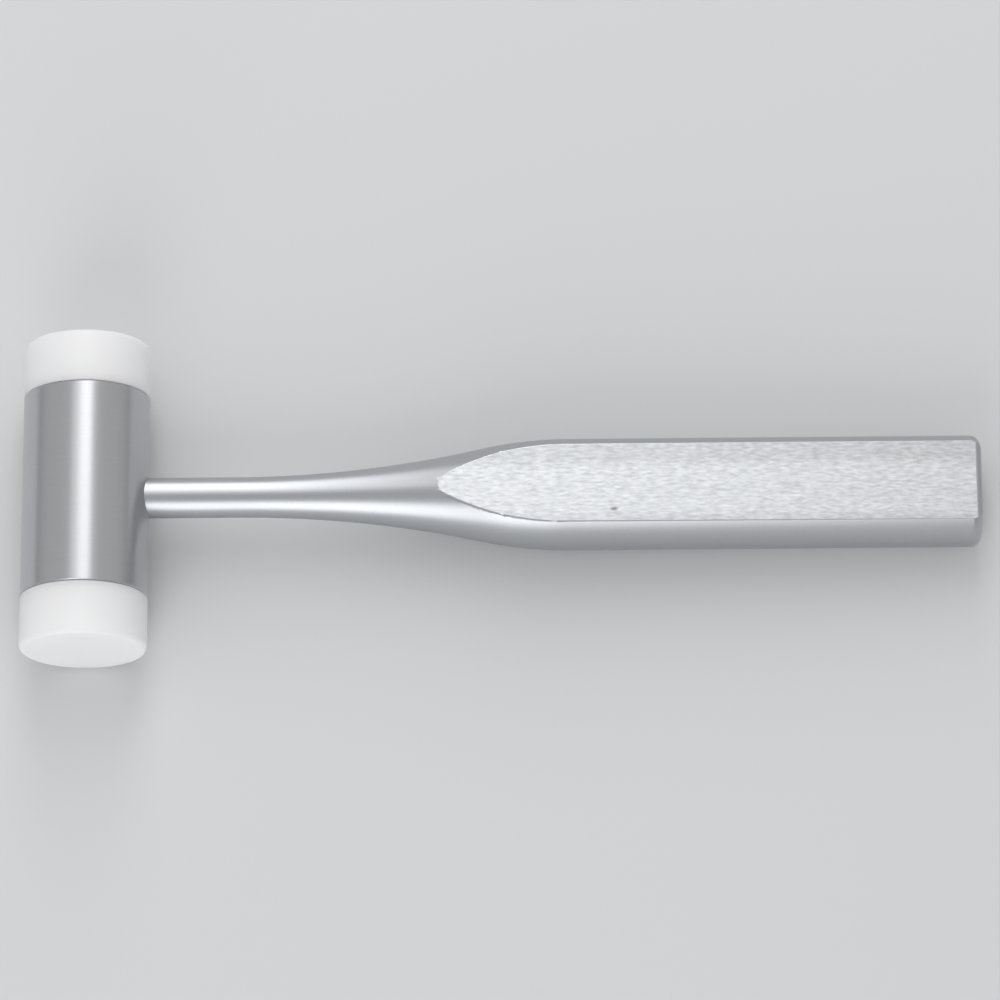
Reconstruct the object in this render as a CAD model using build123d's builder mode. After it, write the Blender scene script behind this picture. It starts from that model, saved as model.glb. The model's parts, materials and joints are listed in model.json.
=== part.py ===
from build123d import *

import os
from math import acos, asin, atan2, cos, degrees, hypot, radians, sin, tan

# Surgical mallet lying on its side, in millimetres. The head's axis runs along Y and the handle along +X.
# The origin is on the table, in the middle of the whole outline, and +Z is up.

# Driving dimensions of the steel barrel
head_diameter = 25.0
barrel_length = 41.3
barrel_end_chamfer = 0.4

# Driving dimensions of the nylon caps, each in one piece with its threaded spigot
cap_length = 10.7
cap_face_edge_radius = 1.0
cap_seam_chamfer = 0.15
spigot_length = 9.5
spigot_tip_chamfer = 0.8

# Driving dimensions of the threaded sockets in the barrel's two ends
socket_thread_diameter = 12.0
socket_runout = 1.5
socket_mouth_chamfer = 0.6
drill_point_angle = 118.0
thread_clearance = 0.05

# Driving dimensions of the handle, measured along its own axis from the head's axis
handle_length = 176.4
neck_diameter = 8.0
neck_straight_end = 30.0
flare_concave_radius = 227.0
shoulder_radius = 80.0
grip_diameter = 22.0
grip_flat_thickness = 15.0
flat_end_radius = 1.2
butt_edge_radius = 2.0

# Driving dimensions of the joint between handle and barrel
neck_seat_depth = 4.0
neck_seat_clearance = 0.02
tenon_thread_diameter = 6.0
tenon_length = 12.0
tenon_tip_chamfer = 0.7
tapped_hole_runout = 1.5

head_radius = head_diameter / 2
socket_radius = socket_thread_diameter / 2
spigot_radius = socket_radius - thread_clearance
socket_depth = spigot_length + socket_runout
drill_point_height = socket_radius / tan(radians(drill_point_angle / 2))

neck_radius = neck_diameter / 2
grip_radius = grip_diameter / 2
flat_height = grip_flat_thickness / 2
neck_seat_radius = neck_radius + neck_seat_clearance
neck_seat_floor = head_radius - neck_seat_depth
tenon_radius = tenon_thread_diameter / 2 - thread_clearance
tenon_end = neck_seat_floor - tenon_length
tapped_hole_depth = neck_seat_depth + tenon_length + tapped_hole_runout

# The flare is two tangent arcs, which leave the neck and meet the grip without a corner, so both arcs turn
# through the same angle.
flare_angle = degrees(acos(1 - (grip_radius - neck_radius) / (flare_concave_radius + shoulder_radius)))

# The mallet rests on its round head and on the rounded end of its lower flat. The handle droops by the angle
# at which that edge comes down to the table.
edge_centre_along = handle_length - flat_end_radius
edge_centre_below = flat_height - flat_end_radius
edge_drop = head_radius - flat_end_radius
edge_reach = hypot(edge_centre_along, edge_centre_below)
droop = asin(edge_drop / edge_reach) - atan2(edge_centre_below, edge_centre_along)

# The rounded end of the upper flat reaches furthest along +X, and the head furthest along -X.
butt_reach = edge_centre_along * cos(droop) + edge_centre_below * sin(droop) + flat_end_radius
head_x = (head_radius - butt_reach) / 2

head_centre = Vector(head_x, 0, head_radius)
along_handle = Vector(cos(droop), 0, -sin(droop))

# The head's two planes: across its axis at its middle, and along its axis for turned profiles.
head_middle = Plane(origin=head_centre, x_dir=(1, 0, 0), z_dir=(0, 1, 0))
head_axis = Axis(head_centre, (0, 1, 0))

# The handle's planes: seen from the side, with the axis along the sketch's x, and across it at the barrel.
handle_side = Plane(origin=head_centre, x_dir=along_handle, z_dir=(0, -1, 0))
handle_axis = Axis(head_centre, along_handle)
handle_mouth = Plane(origin=head_centre + along_handle * head_radius, x_dir=(0, 1, 0), z_dir=along_handle)

os.makedirs("parts", exist_ok=True)


# Head barrel: turned cylinder, drilled and tapped from both ends and from the side
with BuildPart() as head_barrel:
    with BuildSketch(head_middle):
        Circle(head_radius)
    extrude(amount=barrel_length / 2, both=True)
    chamfer(head_barrel.faces().filter_by(Axis.Y).edges(), barrel_end_chamfer)

    # Each socket is turned from a profile that runs from the mouth inwards to the point of the drill.
    for facing in (-1, 1):
        mouth = head_centre + Vector(0, facing * barrel_length / 2, 0)
        with BuildSketch(Plane(origin=mouth, x_dir=(0, -facing, 0), z_dir=(facing, 0, 0))):
            with BuildLine():
                Polyline(
                    (0, 0),
                    (0, socket_radius + socket_mouth_chamfer),
                    (socket_mouth_chamfer, socket_radius),
                    (socket_depth, socket_radius),
                    (socket_depth + drill_point_height, 0),
                    close=True,
                )
            make_face()
        revolve(axis=head_axis, mode=Mode.SUBTRACT)

    # The handle's hole is a plain seat for the neck, then a smaller tapped hole for its tenon.
    with Locations(handle_mouth):
        CounterBoreHole(
            radius=tenon_thread_diameter / 2,
            counter_bore_radius=neck_seat_radius,
            counter_bore_depth=neck_seat_depth,
            depth=tapped_hole_depth,
        )

head_barrel.part.label = "head_barrel"
export_step(head_barrel.part, "parts/head_barrel.step")


# Striking caps: a disc as wide as the barrel with a softened striking edge, and a threaded spigot behind it
for node, facing in (("striking_cap_front", -1), ("striking_cap_back", 1)):
    seam = Plane(
        origin=head_centre + Vector(0, facing * barrel_length / 2, 0),
        x_dir=(1, 0, 0),
        z_dir=(0, facing, 0),
    )
    with BuildPart() as striking_cap:
        with BuildSketch(seam):
            Circle(head_radius)
        extrude(amount=cap_length)
        disc_faces = striking_cap.faces().filter_by(Axis.Y).sort_by(Axis(seam.origin, seam.z_dir))
        fillet(disc_faces[-1].edges(), cap_face_edge_radius)
        chamfer(disc_faces[0].edges(), cap_seam_chamfer)
        with BuildSketch(seam):
            Circle(spigot_radius)
        extrude(amount=-spigot_length)
        spigot_tip = striking_cap.faces().filter_by(Axis.Y).sort_by(Axis(seam.origin, seam.z_dir))[0]
        chamfer(spigot_tip.edges(), spigot_tip_chamfer)

    striking_cap.part.label = node
    export_step(striking_cap.part, f"parts/{node}.step")


# Handle: tenon, neck, flare, shoulder and grip are turned in one piece, then two flats are milled on the grip
with BuildPart() as handle:
    with BuildSketch(handle_side):
        with BuildLine():
            shank = Polyline(
                (tenon_end, 0),
                (tenon_end, tenon_radius - tenon_tip_chamfer),
                (tenon_end + tenon_tip_chamfer, tenon_radius),
                (neck_seat_floor, tenon_radius),
                (neck_seat_floor, neck_radius),
                (neck_straight_end, neck_radius),
            )
            flare = JernArc(shank @ 1, (1, 0), flare_concave_radius, flare_angle)
            shoulder = JernArc(flare @ 1, flare % 1, shoulder_radius, -flare_angle)
            grip_side = Line(shoulder @ 1, (handle_length - butt_edge_radius, grip_radius))
            butt_edge = JernArc(grip_side @ 1, (1, 0), butt_edge_radius, -90)
            Polyline(butt_edge @ 1, (handle_length, 0), (tenon_end, 0))
        make_face()
    revolve(axis=handle_axis)

    # Milling keeps only what lies between two parallel planes. The flats run out on the flare in a pointed
    # arch, where the flare is as thin as the flats are apart. Their ends at the butt are rounded over.
    with BuildSketch(handle_side) as between_flats:
        with Locations((handle_length, 0)):
            Rectangle(2 * handle_length, grip_flat_thickness, align=(Align.MAX, Align.CENTER))
        fillet(between_flats.vertices().group_by(Axis.X)[-1], flat_end_radius)
    extrude(amount=grip_diameter, both=True, mode=Mode.INTERSECT)

handle.part.label = "handle"
export_step(handle.part, "parts/handle.step")


print("handle droops", round(degrees(droop), 3), "degrees; head axis at x", round(head_x, 3))
print("a cap's spigot leaves its socket after", spigot_length, "mm of travel")
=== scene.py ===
# %% [markdown]
# # A surgical mallet, dressed for its portrait
#
# The mallet lies on its side on a pale table: a steel barrel with a white nylon cap screwed into each
# end, and a slim handle that is turned, flared and milled flat on two sides. The sizes and places of the
# pieces come from a finished engineering model, which this lesson loads first and never changes. Each
# piece is then made again with finer edges, real threads and a proper finish, in exactly the same place.

# %% Load the fixed frame
import json
import math

import bpy
from mathutils import Matrix, Vector


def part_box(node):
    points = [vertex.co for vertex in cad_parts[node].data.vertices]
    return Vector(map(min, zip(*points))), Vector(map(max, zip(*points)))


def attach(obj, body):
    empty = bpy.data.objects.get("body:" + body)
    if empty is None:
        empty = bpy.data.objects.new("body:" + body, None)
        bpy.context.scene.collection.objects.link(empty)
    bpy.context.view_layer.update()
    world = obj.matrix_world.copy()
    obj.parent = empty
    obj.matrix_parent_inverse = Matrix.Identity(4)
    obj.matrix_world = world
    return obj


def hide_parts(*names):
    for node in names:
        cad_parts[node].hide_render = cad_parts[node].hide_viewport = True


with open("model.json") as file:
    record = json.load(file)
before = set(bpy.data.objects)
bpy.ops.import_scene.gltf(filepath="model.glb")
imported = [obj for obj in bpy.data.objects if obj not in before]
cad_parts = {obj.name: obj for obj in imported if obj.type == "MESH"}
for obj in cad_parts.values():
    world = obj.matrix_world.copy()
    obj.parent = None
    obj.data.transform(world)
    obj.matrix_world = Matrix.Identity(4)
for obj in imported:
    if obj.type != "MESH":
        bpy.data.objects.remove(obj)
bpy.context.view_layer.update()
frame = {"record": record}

# %% [markdown]
# ## Sizes
#
# Blender works in metres here, and a workshop drawing is in millimetres, so every size below is a number
# of millimetres times MM. The barrel, the caps and the handle's direction are measured on the frame. Only
# shapes that a box can't tell, such as the two arcs of the flare, are written down again.

# %% Measure the head
MM = 0.001

barrel_low, barrel_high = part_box("head_barrel")
head_centre = (barrel_low + barrel_high) / 2
head_radius = (barrel_high.z - barrel_low.z) / 2
barrel_half = (barrel_high.y - barrel_low.y) / 2

cap_low, cap_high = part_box("striking_cap_front")
cap_length = (head_centre.y - barrel_half) - cap_low.y
spigot_length = cap_high.y - (head_centre.y - barrel_half)

print("head radius", round(head_radius / MM, 3), "mm, barrel", round(2 * barrel_half / MM, 3), "mm long")
print("cap", round(cap_length / MM, 3), "mm, spigot", round(spigot_length / MM, 3), "mm")

# %% Measure the handle
mounts = {mount["name"]: mount for mount in frame["record"]["mounts"]}
along = Vector(mounts["neck"]["axis"]).normalized()
neck_radius = mounts["neck"]["dims"]["r_mm"] * MM
upward = Vector(mounts["grip_flat_top"]["axis"]).normalized()
sideways = Vector((0, 1, 0))
flat_height = (Vector(mounts["grip_flat_top"]["pos_m"]) - head_centre).dot(upward)

GRIP_RADIUS = 11.0 * MM
NECK_STRAIGHT_END = 30.0 * MM
FLARE_RADIUS = 227.0 * MM
SHOULDER_RADIUS = 80.0 * MM
BUTT_EDGE = 2.0 * MM
FLAT_END = 1.2 * MM

handle_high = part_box("handle")[1]
flat_end_centre = handle_high.x - head_centre.x - FLAT_END
rise = (flat_height - FLAT_END) * upward.x
handle_length = (flat_end_centre - rise) / along.x + FLAT_END

print("handle", round(handle_length / MM, 3), "mm from the head's axis")
print("flats", round(2 * flat_height / MM, 3), "mm apart")
print("droop", round(math.degrees(math.asin(-along.z)), 3), "degrees")

# %% [markdown]
# ## Working by hand, in code
#
# Modelling by script is the same as modelling by mouse: select something, then call an operator on it.
# These small helpers do the selecting. The first leaves one piece selected. The next two pick faces or
# edges by where they are or where they look, and open edit mode, because an operator acts on all that is
# selected.

# %% Selection helpers
def only(piece):
    """Leaves this piece alone selected, and makes it the active one."""
    bpy.ops.object.select_all(action="DESELECT")
    piece.select_set(True)
    bpy.context.view_layer.objects.active = piece


def start_picking(piece, faces):
    """Clears what is selected in a mesh, in face mode or in edge mode."""
    only(piece)
    bpy.context.tool_settings.mesh_select_mode = (False, not faces, faces)
    for group in (piece.data.vertices, piece.data.edges, piece.data.polygons):
        group.foreach_set("select", [False] * len(group))


def pick_faces(piece, wanted):
    """Opens edit mode with the faces selected for which wanted(centre, normal) is true."""
    start_picking(piece, faces=True)
    for face in piece.data.polygons:
        face.select = wanted(face.center, face.normal)
    bpy.ops.object.mode_set(mode="EDIT")


def pick_edges(piece, wanted):
    """Opens edit mode with the edges selected for which wanted(one end, other end) is true."""
    start_picking(piece, faces=False)
    points = piece.data.vertices
    for edge in piece.data.edges:
        first, second = edge.vertices
        edge.select = wanted(points[first].co, points[second].co)
    bpy.ops.object.mode_set(mode="EDIT")


def finish_editing():
    """Closes edit mode and clears the selection."""
    bpy.ops.mesh.select_all(action="DESELECT")
    bpy.ops.object.mode_set(mode="OBJECT")


# %% [markdown]
# A round piece starts as a cylinder that stands on a base point and runs in some direction. Its object is
# then set back to the origin, unturned and unscaled, so that its place is in its mesh. A second helper
# cuts one mesh with another, as a drill or a milling cutter would, and throws the cutter away.

# %% Round bars and cutters
AROUND = 192


def turned_to(direction):
    """The turn that takes the Z axis to a direction."""
    return Vector((0, 0, 1)).rotation_difference(direction).to_euler()


def round_bar(name, base, direction, length, radius, end_radius=None, vertices=AROUND):
    """A closed cylinder, or a cone, from a base point along a direction."""
    bpy.ops.object.select_all(action="DESELECT")
    bpy.ops.mesh.primitive_cone_add(
        vertices=vertices,
        radius1=radius,
        radius2=radius if end_radius is None else end_radius,
        depth=length,
        location=base + direction * length / 2,
        rotation=turned_to(direction),
    )
    bar = bpy.context.object
    bar.name = name
    bpy.ops.object.transform_apply(location=True, rotation=True, scale=True)
    return bar


def carve(piece, tool, operation="DIFFERENCE", solver="MANIFOLD"):
    """Cuts the piece with a tool, or keeps only what they share, and removes the tool.

    The manifold solver is the one that leaves the barrel closed round its threaded sockets. It also adds an
    empty material slot, in front of the place of the real one, so the slots are cleared after the cut.
    """
    only(piece)
    cut = piece.modifiers.new("cut", "BOOLEAN")
    cut.object = tool
    cut.operation = operation
    cut.solver = solver
    bpy.ops.object.modifier_apply(modifier=cut.name)
    piece.data.materials.clear()
    bpy.data.objects.remove(tool)


# %% [markdown]
# ## Threads
#
# A screw thread is one small profile that climbs as it goes round. The Screw modifier does just that: it
# takes a line, turns it about Z and lifts it by one pitch a turn. The line here is one tooth, from root
# to crest and back, with flanks at 60 degrees to each other. The result has ragged ends, so two bisect
# cuts trim it, and one face over each end closes it: a tool with an open end doesn't cut cleanly. The rod
# itself taps a hole. A thick sleeve that has been tapped by the rod is the die that cuts the matching
# thread on a spigot, so both threads mesh like the real ones.

# %% Thread shapes
CAP_THREAD = {"pitch": 1.75 * MM, "crest": 5.95 * MM, "root": 4.90 * MM, "crest_flat": 0.20 * MM}
CAP_SOCKET = {"pitch": 1.75 * MM, "crest": 6.00 * MM, "root": 5.05 * MM, "crest_flat": 0.20 * MM}
TENON_THREAD = {"pitch": 1.00 * MM, "crest": 2.95 * MM, "root": 2.35 * MM, "crest_flat": 0.12 * MM}
TENON_SOCKET = {"pitch": 1.00 * MM, "crest": 3.00 * MM, "root": 2.45 * MM, "crest_flat": 0.12 * MM}
FLANK_SLOPE = math.tan(math.radians(30))
THREAD_STEPS = 64


def threaded_rod(base, direction, start, end, thread):
    """A closed threaded rod from start to end, both measured from the base along the direction."""
    pitch, crest, root = thread["pitch"], thread["crest"], thread["root"]
    flank = (crest - root) * FLANK_SLOPE
    tooth = thread["crest_flat"] / 2 + flank
    outline = [
        (root, 0, -pitch / 2),
        (root, 0, -tooth),
        (crest, 0, -thread["crest_flat"] / 2),
        (crest, 0, thread["crest_flat"] / 2),
        (root, 0, tooth),
        (root, 0, pitch / 2),
    ]
    mesh = bpy.data.meshes.new("thread_line")
    mesh.from_pydata(outline, [(i, i + 1) for i in range(len(outline) - 1)], [])
    rod = bpy.data.objects.new("threaded_rod", mesh)
    bpy.context.scene.collection.objects.link(rod)
    turns_before = math.ceil(start / pitch) - 2
    rod.data.transform(Matrix.Translation((0, 0, turns_before * pitch)))

    only(rod)
    screw = rod.modifiers.new("screw", "SCREW")
    screw.screw_offset = pitch
    screw.iterations = math.ceil(end / pitch) - turns_before + 2
    screw.steps = screw.render_steps = THREAD_STEPS
    bpy.ops.object.modifier_apply(modifier=screw.name)

    bpy.ops.object.mode_set(mode="EDIT")
    bpy.ops.mesh.select_all(action="SELECT")
    bpy.ops.mesh.remove_doubles(threshold=0.001 * MM)
    bpy.ops.mesh.bisect(plane_co=(0, 0, start), plane_no=(0, 0, 1), clear_inner=True)
    bpy.ops.mesh.edge_face_add()
    bpy.ops.mesh.select_all(action="SELECT")
    bpy.ops.mesh.bisect(plane_co=(0, 0, end), plane_no=(0, 0, 1), clear_outer=True)
    bpy.ops.mesh.edge_face_add()
    bpy.ops.mesh.select_all(action="SELECT")
    bpy.ops.mesh.normals_make_consistent(inside=False)
    finish_editing()

    rod.rotation_euler = turned_to(direction)
    rod.location = base
    bpy.ops.object.transform_apply(location=True, rotation=True, scale=True)
    return rod


def cut_outer_thread(piece, base, direction, start, end, thread, solver="MANIFOLD"):
    """Cuts a thread round a spigot with a die: a sleeve that a rod has tapped."""
    overrun = thread["pitch"]
    sleeve_radius = thread["crest"] + thread["pitch"] / 2
    die = round_bar("die", base + direction * start, direction, end - start, sleeve_radius)
    carve(die, threaded_rod(base, direction, start - overrun, end + overrun, thread))
    carve(piece, die, solver=solver)


# %% [markdown]
# ## The striking caps
#
# Each cap is turned from a bar of white nylon: a disc as wide as the barrel, with a softened striking
# edge, and behind it a spigot that screws into the head. By hand that is a cylinder whose rim is
# bevelled, and whose back face is inset and drawn out step by step: a thin relief groove first, then the
# spigot, then its tapered tip. The two caps are alike, so one function makes both, each from its own end
# of the head.

# %% Model the caps
CAP_FACE_EDGE = 1.0 * MM
CAP_SEAM_EDGE = 0.25 * MM
RELIEF_LENGTH = 1.2 * MM
RELIEF_DEPTH = 0.1 * MM
SPIGOT_TIP_CHAMFER = 0.8 * MM


def draw_out(direction, lengths_and_scales, centre):
    """Extrudes what is selected by each length in turn, and scales it about the axis after each step."""
    travelled = 0
    for length, scale in lengths_and_scales:
        bpy.ops.mesh.extrude_region_move(TRANSFORM_OT_translate={"value": direction * length})
        travelled += length
        bpy.ops.transform.resize(value=(scale, scale, scale), center_override=centre + direction * travelled)


def striking_cap(name, outward):
    """A nylon cap at the end of the head that looks outward."""
    seam = head_centre + outward * barrel_half
    cap = round_bar(name, seam, outward, cap_length, head_radius)

    def at_height(point, height):
        return abs((point - seam).dot(outward) - height) < 0.01 * MM

    pick_edges(cap, lambda a, b: at_height(a, cap_length) and at_height(b, cap_length))
    bpy.ops.mesh.bevel(offset=CAP_FACE_EDGE, segments=10, affect="EDGES")
    finish_editing()
    pick_edges(cap, lambda a, b: at_height(a, 0) and at_height(b, 0))
    bpy.ops.mesh.bevel(offset=CAP_SEAM_EDGE, segments=3, affect="EDGES")
    finish_editing()

    relief_radius = CAP_THREAD["root"] - RELIEF_DEPTH
    crest = CAP_THREAD["crest"]
    tip_radius = crest - SPIGOT_TIP_CHAMFER
    pick_faces(cap, lambda centre, normal: normal.dot(outward) < -0.99)
    bpy.ops.mesh.inset(thickness=head_radius - CAP_SEAM_EDGE - relief_radius)
    steps = [
        (RELIEF_LENGTH, 1),
        (0, crest / relief_radius),
        (spigot_length - RELIEF_LENGTH - SPIGOT_TIP_CHAMFER, 1),
        (SPIGOT_TIP_CHAMFER, tip_radius / crest),
    ]
    draw_out(-outward, steps, seam)
    finish_editing()

    cut_outer_thread(cap, seam, -outward, RELIEF_LENGTH / 2, spigot_length + CAP_THREAD["pitch"], CAP_THREAD)
    return cap


cap_front = striking_cap("nylon_cap_front", Vector((0, -1, 0)))
cap_back = striking_cap("nylon_cap_back", Vector((0, 1, 0)))
print("cap front has", len(cap_front.data.polygons), "faces")

# %% [markdown]
# ## The barrel
#
# The barrel is a length of steel bar with its ends faced off. Each end is drawn out into a short steep
# cone, whose corner is then softened, so that the seam in front of it shows as a fine dark line. Three
# holes are cut in the bar, in the order a machinist would: each socket is drilled to a point, relieved at
# the bottom, countersunk at the mouth and tapped, and the side is bored for the neck and tapped behind
# it.

# %% Model the barrel
EDGE_LENGTH = 0.28 * MM
EDGE_DEPTH = 0.52 * MM
EDGE_SOFTENING = 0.14 * MM
SOCKET_RUNOUT = 1.5 * MM
SOCKET_MOUTH_CHAMFER = 0.6 * MM
DRILL_POINT_ANGLE = 118.0
NECK_SEAT_DEPTH = 4.0 * MM
NECK_SEAT_CLEARANCE = 0.02 * MM
TENON_LENGTH = 12.0 * MM
TAPPED_RUNOUT = 1.5 * MM
OVERRUN = 0.5 * MM
AROUND_BARREL = 256
AROUND_BORE = 128

full_half = barrel_half - EDGE_LENGTH
barrel_foot = head_centre - sideways * full_half
barrel = round_bar(
    "turned_barrel", barrel_foot, sideways, 2 * full_half, head_radius, vertices=AROUND_BARREL
)


def on_full_rim(a, b):
    """True for an edge of the two circles where the straight part of the barrel ends."""
    level = abs(a.y - b.y) < 0.01 * MM
    return level and min((point - head_centre).xz.length for point in (a, b)) > head_radius - 0.01 * MM


for outward in (Vector((0, -1, 0)), Vector((0, 1, 0))):
    pick_faces(barrel, lambda centre, normal: normal.dot(outward) > 0.99)
    draw_out(outward, [(EDGE_LENGTH, 1 - EDGE_DEPTH / head_radius)], head_centre + outward * full_half)
    finish_editing()
pick_edges(barrel, on_full_rim)
bpy.ops.mesh.bevel(offset=EDGE_SOFTENING, segments=3, affect="EDGES")
finish_editing()

for outward in (Vector((0, -1, 0)), Vector((0, 1, 0))):
    mouth = head_centre + outward * barrel_half
    inward = -outward
    socket_crest = CAP_SOCKET["crest"]
    socket_end = mouth + inward * spigot_length

    relief = round_bar(
        "relief", socket_end, inward, SOCKET_RUNOUT, socket_crest, vertices=AROUND_BORE
    )
    pick_faces(relief, lambda centre, normal: normal.dot(inward) > 0.99)
    drill_point = socket_crest / math.tan(math.radians(DRILL_POINT_ANGLE / 2))
    bpy.ops.mesh.extrude_region_move(TRANSFORM_OT_translate={"value": inward * drill_point})
    bpy.ops.mesh.merge(type="CENTER")
    finish_editing()
    carve(barrel, relief)

    rod = threaded_rod(mouth, inward, -OVERRUN, spigot_length + OVERRUN, CAP_SOCKET)
    carve(barrel, rod)

    sink_depth = socket_crest + SOCKET_MOUTH_CHAMFER + OVERRUN
    sink_mouth = mouth + outward * OVERRUN
    carve(barrel, round_bar("countersink", sink_mouth, inward, sink_depth, sink_depth, 0, AROUND_BORE))

# %% Bore the handle's seat
seat_mouth = head_centre + along * (head_radius + OVERRUN)
seat_radius = neck_radius + NECK_SEAT_CLEARANCE
seat_bore_length = NECK_SEAT_DEPTH + OVERRUN
seat_bore = round_bar(
    "seat_bore", seat_mouth, -along, seat_bore_length, seat_radius, vertices=AROUND_BORE
)
carve(barrel, seat_bore)
seat_floor = head_radius - NECK_SEAT_DEPTH
tapped_depth = TENON_LENGTH + TAPPED_RUNOUT
carve(barrel, threaded_rod(head_centre + along * seat_floor, -along, -OVERRUN, tapped_depth, TENON_SOCKET))
print("barrel has", len(barrel.data.polygons), "faces")

# %% [markdown]
# ## The handle
#
# On the lathe, the handle's outline is a tenon, a straight neck, a long hollow arc, a short round
# shoulder and a straight grip with a rounded edge at the butt. Here the same outline is drawn ring by
# ring: a round face is extruded along the axis and scaled to the next radius. The rings stand close
# together on the arcs and far apart on the straight stretches, where more of them would add nothing.

# %% Work out the handle's rings
FLARE_RINGS = 48
SHOULDER_RINGS = 20
BUTT_RINGS = 10
TENON_TIP_CHAMFER = 0.7 * MM

sweep = math.acos(1 - (GRIP_RADIUS - neck_radius) / (FLARE_RADIUS + SHOULDER_RADIUS))
flare_end = NECK_STRAIGHT_END + FLARE_RADIUS * math.sin(sweep)
shoulder_end = flare_end + SHOULDER_RADIUS * math.sin(sweep)
tenon_end = seat_floor - TENON_LENGTH
tenon_relief = TENON_THREAD["root"] - RELIEF_DEPTH

rings = [
    (tenon_end + TENON_TIP_CHAMFER, TENON_THREAD["crest"]),
    (seat_floor - RELIEF_LENGTH, TENON_THREAD["crest"]),
    (seat_floor - RELIEF_LENGTH, tenon_relief),
    (seat_floor, tenon_relief),
    (seat_floor, neck_radius),
    (NECK_STRAIGHT_END, neck_radius),
]
for step in range(1, FLARE_RINGS + 1):
    turn = sweep * step / FLARE_RINGS
    reach = NECK_STRAIGHT_END + FLARE_RADIUS * math.sin(turn)
    rings.append((reach, neck_radius + FLARE_RADIUS * (1 - math.cos(turn))))
for step in range(1, SHOULDER_RINGS + 1):
    turn = sweep * (1 - step / SHOULDER_RINGS)
    reach = shoulder_end - SHOULDER_RADIUS * math.sin(turn)
    rings.append((reach, GRIP_RADIUS - SHOULDER_RADIUS * (1 - math.cos(turn))))
for step in range(BUTT_RINGS + 1):
    turn = math.pi / 2 * step / BUTT_RINGS
    reach = handle_length - BUTT_EDGE * (1 - math.sin(turn))
    rings.append((reach, GRIP_RADIUS - BUTT_EDGE * (1 - math.cos(turn))))

print("flare ends at", round(flare_end / MM, 2), "mm, shoulder at", round(shoulder_end / MM, 2), "mm")

# %% Draw out the handle ring by ring
tip_radius = TENON_THREAD["crest"] - TENON_TIP_CHAMFER
first_station, first_radius = rings[0]
start_point = head_centre + along * tenon_end
handle = round_bar("turned_handle", start_point, along, first_station - tenon_end, tip_radius, first_radius)

pick_faces(handle, lambda centre, normal: normal.dot(along) > 0.99)
station, radius = first_station, first_radius
for next_station, next_radius in rings[1:]:
    draw_out(along, [(next_station - station, next_radius / radius)], head_centre + along * station)
    station, radius = next_station, next_radius
finish_editing()
print("handle has", len(handle.data.polygons), "faces after turning")

# %% [markdown]
# The two flats are milled. The slab that is left between the two cutter passes is a box with its butt end
# rounded over, and what the turned bar and the slab share is the handle. The flats run out on the flare
# in a pointed arch, which nobody has to draw: it falls out of the cut. Their long edges are then broken a
# little, as polishing does, the front ones more than the back ones. That narrow soft edge is what catches
# a dark line under the flat. It is so fine that the manifold solver nicks it, even when it cuts the
# tenon's thread at the far end of the handle, so both cuts in the handle use the exact solver.

# %% Mill the flats
FLAT_EDGE_BREAKS = ((-1, 0.26 * MM), (1, 0.10 * MM))
ARCH_TIP = 2.2 * MM

bpy.ops.object.select_all(action="DESELECT")
bpy.ops.mesh.primitive_cube_add(size=1, location=head_centre, rotation=turned_to(upward))
slab = bpy.context.object
slab.name = "slab"
slab.scale = (2 * handle_length, 4 * GRIP_RADIUS, 2 * flat_height)
bpy.ops.object.transform_apply(location=True, rotation=True, scale=True)


def on_butt(point):
    return abs((point - head_centre).dot(along) - handle_length) < 0.01 * MM


pick_edges(slab, lambda a, b: on_butt(a) and on_butt(b) and abs(a.y - b.y) > GRIP_RADIUS)
bpy.ops.mesh.bevel(offset=FLAT_END, segments=10, affect="EDGES")
finish_editing()
carve(handle, slab, "INTERSECT", solver="EXACT")


def height(point):
    return abs((point - head_centre).dot(upward))


def station_of(point):
    return (point - head_centre).dot(along)


def on_flat_rim(a, b):
    """True for an edge of a flat's outline, away from the rounded butt."""
    both_high = min(height(a), height(b)) > flat_height - 0.002 * MM
    return both_high and max(station_of(a), station_of(b)) < handle_length - BUTT_EDGE + 0.01 * MM


def on_long_rim(a, b, side):
    """True for the part of a flat's outline, on one side, that runs along the grip and the arch."""
    return on_flat_rim(a, b) and min(side * a.y, side * b.y) > ARCH_TIP


only(handle)
bpy.ops.object.mode_set(mode="EDIT")
bpy.ops.mesh.select_all(action="SELECT")
bpy.ops.mesh.remove_doubles(threshold=0.02 * MM)
finish_editing()
pick_edges(handle, on_flat_rim)
bpy.ops.mesh.mark_sharp()
finish_editing()
for side, edge_break in FLAT_EDGE_BREAKS:
    pick_edges(handle, lambda a, b: on_long_rim(a, b, side))
    bpy.ops.mesh.bevel(offset=edge_break, segments=3, affect="EDGES")
    finish_editing()
cut_outer_thread(
    handle,
    head_centre + along * seat_floor,
    -along,
    RELIEF_LENGTH / 2,
    TENON_LENGTH + TENON_THREAD["pitch"],
    TENON_THREAD,
    solver="EXACT",
)
print("handle has", len(handle.data.polygons), "faces after milling")

# %% [markdown]
# ## Clean normals
#
# Round surfaces should shade round, and real corners should stay crisp. Smoothing by angle sorts that
# out, and a Weighted Normal modifier then lets the large faces decide at each corner, so that a flat face
# next to a rounded edge stays perfectly flat in its reflections.

# %% Shade the pieces
SHARP_ANGLE = math.radians(30)

for piece in (barrel, cap_front, cap_back, handle):
    only(piece)
    bpy.ops.object.shade_smooth_by_angle(angle=SHARP_ANGLE)
    weigh = piece.modifiers.new("weigh", "WEIGHTED_NORMAL")
    weigh.keep_sharp = True
    weigh.weight = 50
    bpy.ops.object.modifier_apply(modifier=weigh.name)

# %% [markdown]
# ## Finishes
#
# Colours are picked as sRGB hex values, as on a screen, and one function turns them into the linear
# numbers that a shader adds up. One more small function adds a node, sets what is plain on it and links
# what is not.

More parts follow.
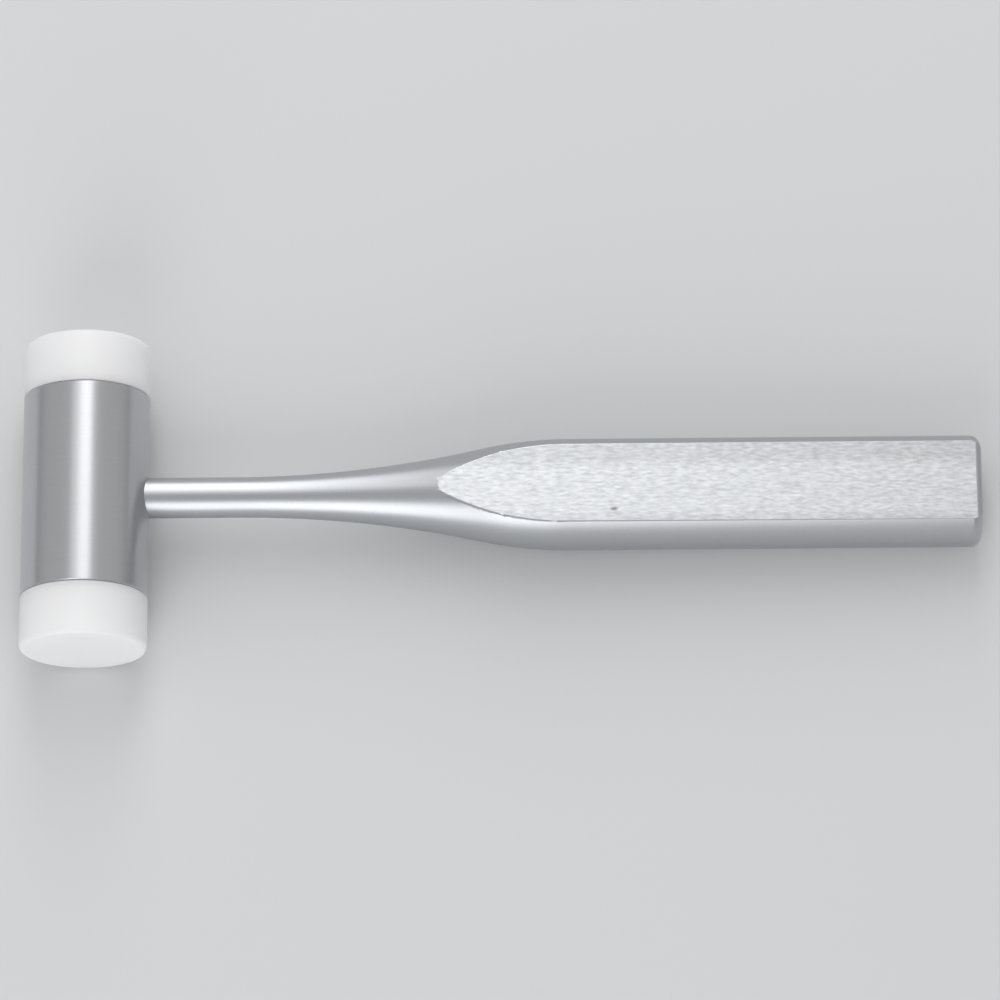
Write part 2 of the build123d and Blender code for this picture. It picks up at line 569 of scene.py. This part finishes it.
# %% Colour and node helpers
def linear(hex_colour):
    """An sRGB hex colour, such as C8CACC, as linear red, green, blue and alpha."""
    channels = [int(hex_colour[i:i + 2], 16) / 255 for i in (0, 2, 4)]
    return tuple(c / 12.92 if c <= 0.04045 else ((c + 0.055) / 1.055) ** 2.4 for c in channels) + (1,)


def add_node(tree, kind, settings=(), links=()):
    """Adds a node. A setting names a socket or a property, and a link names a socket and its source."""
    new = tree.nodes.new(kind)
    for name, value in dict(settings).items():
        if isinstance(name, int) or name in new.inputs:
            new.inputs[name].default_value = value
        else:
            setattr(new, name, value)
    for name, source in dict(links).items():
        tree.links.new(source, new.inputs[name])
    return new


def new_material(name):
    """A material with nothing in it but its output."""
    material = bpy.data.materials.new(name)
    material.use_nodes = True
    tree = material.node_tree
    tree.nodes.clear()
    return material, tree, tree.nodes.new("ShaderNodeOutputMaterial")


# %% [markdown]
# ### Turned stainless steel
#
# The barrel was turned and then finished with an abrasive band while it spun, so its grain runs round it
# in fine lines a fraction of a millimetre apart. Such grain blurs reflections along the barrel but keeps
# them narrow across it, which is why a lamp shows as one long clean stripe. The shader gets that from its
# anisotropy, with the tangent along the barrel. A noise that is squeezed along the axis draws the lines:
# they vary quickly from one end to the other and slowly round the circumference.

# %% Turned stainless steel
GRAIN_LINE = 0.18 * MM
GRAIN_RUN = 6.0 * MM

steel, tree, output = new_material("turned_stainless_steel")
place = add_node(tree, "ShaderNodeTexCoord")
grain_place = add_node(
    tree,
    "ShaderNodeMapping",
    {"Scale": (1 / GRAIN_RUN, 1 / GRAIN_LINE, 1 / GRAIN_RUN)},
    {"Vector": place.outputs["Object"]},
)
grain = add_node(
    tree,
    "ShaderNodeTexNoise",
    {"Scale": 1.0, "Detail": 4.0, "Roughness": 0.6},
    {"Vector": grain_place.outputs["Vector"]},
)
grain_colour = add_node(tree, "ShaderNodeValToRGB", links={"Fac": grain.outputs["Fac"]})
grain_colour.color_ramp.elements[0].position = 0.25
grain_colour.color_ramp.elements[0].color = linear("C2C4C6")
grain_colour.color_ramp.elements[1].position = 0.75
grain_colour.color_ramp.elements[1].color = linear("C9CBCD")
grain_bump = add_node(
    tree,
    "ShaderNodeBump",
    {"Strength": 0.05, "Distance": 0.02 * MM},
    {"Height": grain.outputs["Fac"]},
)
along_barrel = add_node(tree, "ShaderNodeCombineXYZ", {"Y": 1.0})
shader = add_node(
    tree,
    "ShaderNodeBsdfPrincipled",
    {"Metallic": 1.0, "Roughness": 0.34, "Anisotropic": 0.75},
    {
        "Base Color": grain_colour.outputs["Color"],
        "Normal": grain_bump.outputs["Normal"],
        "Tangent": along_barrel.outputs["Vector"],
    },
)
tree.links.new(shader.outputs["BSDF"], output.inputs["Surface"])

# %% [markdown]
# ### Bead-blasted and brushed aluminium
#
# The handle is light metal. Its round parts are blasted with fine beads, which leaves a soft even satin
# that has no direction. The flats are dressed afterwards on a belt that runs along the handle, which
# leaves short pale and dark streaks about half a millimetre wide. They are two finishes on one piece, so
# the handle carries two materials, and the faces of the flats take the second. Their colour is darkened a
# little towards the long edges, a painted shade for the reflection fading at the rim, and use has left
# two small nicks in the upper flat.

# %% Bead-blasted aluminium
BEAD_MARK = 0.25 * MM

blasted, tree, output = new_material("bead_blasted_aluminium")
place = add_node(tree, "ShaderNodeTexCoord")
beads = add_node(
    tree,
    "ShaderNodeTexNoise",
    {"Scale": 1 / BEAD_MARK, "Detail": 3.0, "Roughness": 0.55},
    {"Vector": place.outputs["Object"]},
)
bead_colour = add_node(tree, "ShaderNodeValToRGB", links={"Fac": beads.outputs["Fac"]})
bead_colour.color_ramp.elements[0].position = 0.3
bead_colour.color_ramp.elements[0].color = linear("B7B9BC")
bead_colour.color_ramp.elements[1].position = 0.7
bead_colour.color_ramp.elements[1].color = linear("BFC1C4")
bead_bump = add_node(
    tree,
    "ShaderNodeBump",
    {"Strength": 0.06, "Distance": 0.02 * MM},
    {"Height": beads.outputs["Fac"]},
)
shader = add_node(
    tree,
    "ShaderNodeBsdfPrincipled",
    {"Metallic": 1.0, "Roughness": 0.37},
    {"Base Color": bead_colour.outputs["Color"], "Normal": bead_bump.outputs["Normal"]},
)
tree.links.new(shader.outputs["BSDF"], output.inputs["Surface"])

# %% Brushed flats
STREAK_WIDTH = 0.48 * MM
STREAK_RUN = 1.8 * MM
# Where the painted shade towards the flats' two long edges begins, measured across the handle.
EDGE_SHADE_BEHIND = 3.0 * MM
EDGE_SHADE_IN_FRONT = -5.8 * MM
NICKS = (
    {"place": (22.34, -5.43, 17.02), "radii": (0.80, 0.46, 1.0), "shade": 0.44},
    {"place": (21.74, -3.92, 17.04), "radii": (0.60, 0.22, 1.0), "shade": 0.80},
)

brushed, tree, output = new_material("brushed_aluminium_flat")
place = add_node(tree, "ShaderNodeTexCoord")
streak_place = add_node(
    tree,
    "ShaderNodeMapping",
    {"Scale": (1 / STREAK_RUN, 1 / STREAK_WIDTH, 1 / STREAK_WIDTH)},
    {"Vector": place.outputs["Object"]},
)
streaks = add_node(
    tree,
    "ShaderNodeTexNoise",
    {"Scale": 1.0, "Detail": 3.0, "Roughness": 0.5},
    {"Vector": streak_place.outputs["Vector"]},
)
streak_colour = add_node(tree, "ShaderNodeValToRGB", links={"Fac": streaks.outputs["Fac"]})
streak_colour.color_ramp.elements[0].position = 0.25
streak_colour.color_ramp.elements[0].color = linear("B7B9BB")
streak_colour.color_ramp.elements[1].position = 0.75
streak_colour.color_ramp.elements[1].color = linear("DEE0E2")

flat_side = add_node(tree, "ShaderNodeSeparateXYZ", links={"Vector": place.outputs["Object"]})
# Painted shade: the flats' colour darkens towards both long edges, standing in for the reflection that fades
# at the rim. The nicks after it are real wear.
painted_shade_behind = add_node(
    tree,
    "ShaderNodeMapRange",
    {"From Min": EDGE_SHADE_BEHIND, "From Max": EDGE_SHADE_BEHIND + 2 * MM, "To Min": 1.0, "To Max": 0.86},
    {"Value": flat_side.outputs["Y"]},
)
painted_shade_in_front = add_node(
    tree,
    "ShaderNodeMapRange",
    {"From Min": EDGE_SHADE_IN_FRONT - 2 * MM, "From Max": EDGE_SHADE_IN_FRONT, "To Min": 0.87, "To Max": 1.0},
    {"Value": flat_side.outputs["Y"]},
)
shades = [painted_shade_behind.outputs["Result"], painted_shade_in_front.outputs["Result"]]
for nick in NICKS:
    centre = tuple(number * MM for number in nick["place"])
    sizes = tuple(1 / (number * MM) for number in nick["radii"])
    from_nick = add_node(
        tree,
        "ShaderNodeVectorMath",
        {"operation": "SUBTRACT", 1: centre},
        {0: place.outputs["Object"]},
    )
    stretched = add_node(
        tree,
        "ShaderNodeVectorMath",
        {"operation": "MULTIPLY", 1: sizes},
        {0: from_nick.outputs["Vector"]},
    )
    length_inputs = {0: stretched.outputs["Vector"]}
    how_far = add_node(tree, "ShaderNodeVectorMath", {"operation": "LENGTH"}, length_inputs)
    nick_shade = add_node(
        tree,
        "ShaderNodeMapRange",
        {"From Min": 0.4, "From Max": 1.2, "To Min": nick["shade"], "To Max": 1.0},
        {"Value": how_far.outputs["Value"]},
    )
    shades.append(nick_shade.outputs["Result"])

flat_colour = streak_colour.outputs["Color"]
for shade in shades:
    shaded = add_node(tree, "ShaderNodeVectorMath", {"operation": "MULTIPLY"}, {0: flat_colour, 1: shade})
    flat_colour = shaded.outputs["Vector"]
streak_bump = add_node(
    tree,
    "ShaderNodeBump",
    {"Strength": 0.10, "Distance": 0.02 * MM},
    {"Height": streaks.outputs["Fac"]},
)
across_flat = add_node(tree, "ShaderNodeCombineXYZ", {"Y": 1.0})
shader = add_node(
    tree,
    "ShaderNodeBsdfPrincipled",
    {"Metallic": 1.0, "Roughness": 0.40, "Anisotropic": 0.2},
    {
        "Base Color": flat_colour,
        "Normal": streak_bump.outputs["Normal"],
        "Tangent": across_flat.outputs["Vector"],
    },
)
tree.links.new(shader.outputs["BSDF"], output.inputs["Surface"])

# %% [markdown]
# ### White nylon
#
# Nylon is milky: light enters, scatters a few millimetres and comes out again, which softens every shadow
# on it. A turned and lightly polished face has a dull sheen. A faint, slow unevenness in the sheen keeps
# it from looking like paint.

# %% White nylon
nylon, tree, output = new_material("white_nylon")
place = add_node(tree, "ShaderNodeTexCoord")
cloud = add_node(
    tree,
    "ShaderNodeTexNoise",
    {"Scale": 1 / (4 * MM), "Detail": 3.0},
    {"Vector": place.outputs["Object"]},
)
sheen = add_node(
    tree,
    "ShaderNodeMapRange",
    {"From Min": 0.3, "From Max": 0.7, "To Min": 0.38, "To Max": 0.48},
    {"Value": cloud.outputs["Fac"]},
)
shader = add_node(
    tree,
    "ShaderNodeBsdfPrincipled",
    {
        "Base Color": linear("FAFAFB"),
        "IOR": 1.53,
        "Subsurface Weight": 0.7,
        "Subsurface Radius": (1.0, 1.0, 1.0),
        "Subsurface Scale": 4.0 * MM,
    },
    {"Roughness": sheen.outputs["Result"]},
)
tree.links.new(shader.outputs["BSDF"], output.inputs["Surface"])

# %% Give the pieces their finishes
def looks_along_flat(face):
    """True for the faces of the two flats."""
    return abs(face.normal.dot(upward)) > 0.9999 and height(face.center) > flat_height - 0.01 * MM


barrel.data.materials.append(steel)
cap_front.data.materials.append(nylon)
cap_back.data.materials.append(nylon)
handle.data.materials.append(blasted)
handle.data.materials.append(brushed)
for face in handle.data.polygons:
    face.material_index = 1 if looks_along_flat(face) else 0
print("flat faces", sum(face.material_index for face in handle.data.polygons))

for piece, body, node, slot_name in (
    (barrel, "mallet", "head_barrel", "turned_stainless_steel"),
    (handle, "mallet", "handle", "satin_aluminium"),
    (cap_front, "front_cap", "striking_cap_front", "white_nylon"),
    (cap_back, "back_cap", "striking_cap_back", "white_nylon"),
):
    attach(piece, body)
    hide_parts(node)
    print(piece.name, "wears", [material.name for material in piece.data.materials])

# %% [markdown]
# ## Table, light and camera
#
# The mallet lies on a plain pale table. Metal shows nothing but what is around it, so the light is really
# a drawing of what the metal should mirror: a soft box behind the mallet, a low one in front of it, and a
# dim surround that is darkest near the horizon. The two boxes make the two bright lines on the neck, and
# the gap between them makes the dark line in the middle. A weaker, longer box overhead softens one side
# of the bright stripe on the barrel, and lets the flats fade a little towards the butt.

# %% Table
bpy.ops.object.select_all(action="DESELECT")
bpy.ops.mesh.primitive_plane_add(size=6.0, location=(0, 0, 0))
table = bpy.context.object
table.name = "table"
pale, tree, output = new_material("pale_table")
shader = add_node(
    tree,
    "ShaderNodeBsdfPrincipled",
    {"Base Color": linear("DEDFE0"), "Roughness": 0.8, "Specular IOR Level": 0.2},
)
tree.links.new(shader.outputs["BSDF"], output.inputs["Surface"])
table.data.materials.append(pale)

# %% Light
def soft_box(name, start, end, left, right, distance, radiance):
    """An area light that fills the sky between two angles from overhead, and between two places along X."""
    low, high = math.radians(start), math.radians(end)
    angle = (low + high) / 2
    lamp = bpy.data.lights.new(name, "AREA")
    lamp.shape = "RECTANGLE"
    lamp.size = right - left
    lamp.size_y = 2 * distance * math.tan((high - low) / 2)
    lamp.energy = radiance * math.pi * lamp.size * lamp.size_y
    box = bpy.data.objects.new(name, lamp)
    bpy.context.scene.collection.objects.link(box)
    box.location = ((left + right) / 2, distance * math.sin(angle), distance * math.cos(angle))
    box.rotation_euler = (-angle, 0, 0)
    return box


soft_box("box_behind", 26, 72, -0.19, 0.17, 1.0, 3.0)
soft_box("box_overhead", 12, 26, -0.42, 0.17, 1.0, 1.2)
soft_box("box_in_front", -87, -43, -0.52, 0.08, 1.0, 2.2)

world = bpy.data.worlds.new("studio")
world.use_nodes = True
bpy.context.scene.world = world
tree = world.node_tree
tree.nodes.clear()
around = add_node(tree, "ShaderNodeTexCoord")
parts = add_node(tree, "ShaderNodeSeparateXYZ", links={"Vector": around.outputs["Generated"]})
glow = add_node(tree, "ShaderNodeValToRGB", links={"Fac": parts.outputs["Z"]})
glow.color_ramp.elements[0].position = 0.0
glow.color_ramp.elements[0].color = (0.14, 0.14, 0.142, 1)
glow.color_ramp.elements[1].position = 0.12
glow.color_ramp.elements[1].color = (0.50, 0.50, 0.506, 1)
overhead = glow.color_ramp.elements.new(0.4)
overhead.color = (0.56, 0.56, 0.567, 1)
background = add_node(tree, "ShaderNodeBackground", {"Strength": 1.0}, {"Color": glow.outputs["Color"]})
world_output = tree.nodes.new("ShaderNodeOutputWorld")
tree.links.new(background.outputs["Background"], world_output.inputs["Surface"])

# %% [markdown]
# The camera stands where the photographer's did, a little over a metre away and 72 degrees up, with a
# long lens. Its place was worked out from the ellipses of the caps and the edges of the handle.

# %% Camera
CAMERA_RIGHT = Vector((0.999308, -0.006294, -0.036661))
CAMERA_UP = Vector((0.017482, 0.949425, 0.313508))
CAMERA_BACK = Vector((0.032834, -0.313932, 0.948877))
CAMERA_FROM_HEAD = Vector((116.877, -336.715, 1012.452)) * MM
SENSOR = 36.0
FOCAL_PIXELS = 5421.55
IMAGE_PIXELS = 1000

lens = bpy.data.cameras.new("portrait")
lens.sensor_width = SENSOR
lens.lens = FOCAL_PIXELS * SENSOR / IMAGE_PIXELS
lens.clip_start = 0.01
camera = bpy.data.objects.new("portrait", lens)
bpy.context.scene.collection.objects.link(camera)
turn = Matrix((CAMERA_RIGHT, CAMERA_UP, CAMERA_BACK)).transposed().to_4x4()
camera.matrix_world = Matrix.Translation(head_centre + CAMERA_FROM_HEAD) @ turn
bpy.context.scene.camera = camera

bpy.context.scene.view_settings.view_transform = "Standard"
